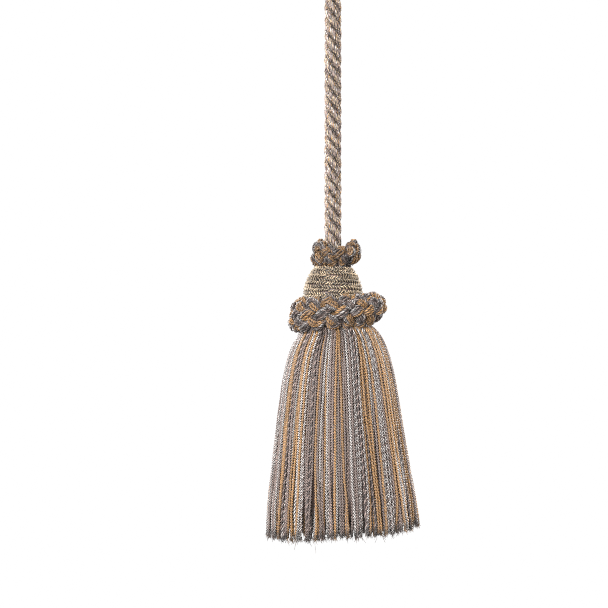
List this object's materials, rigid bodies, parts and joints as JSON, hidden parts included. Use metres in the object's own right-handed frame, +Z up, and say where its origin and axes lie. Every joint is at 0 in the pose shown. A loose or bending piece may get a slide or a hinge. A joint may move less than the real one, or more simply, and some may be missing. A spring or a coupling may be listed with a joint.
{
  "type": "decorative tassel",
  "caption": "Decorative tassel hanging on a twisted rope, with a wound domed head, looped ruffs and a flared skirt of cut cords.",
  "frame": {"origin": "inner crown of the rope's hanging loop, where a hook or a peg carries it", "axes": "+Z up along the hanging rope, -Y the front, +X to the right of someone facing the front"},
  "size_m": [0.0787, 0.0785, 0.3699],
  "materials": {
    "rope": "twisted viscose yarn, soft sheen",
    "whipping": "wound thread, soft sheen",
    "ruff": "plaited gimp in mixed yarns, soft sheen",
    "head": "wound rows of thin twisted cord, soft sheen",
    "skirt": "cut twisted cords in gold, taupe and speckled silver, soft sheen"
  },
  "bodies": {
    "root": {"rope": "rope", "loop_whipping": "whipping", "top_ruff": "ruff", "head": "head", "collar_ruff": "ruff", "skirt": "skirt"}
  },
  "joints": []
}
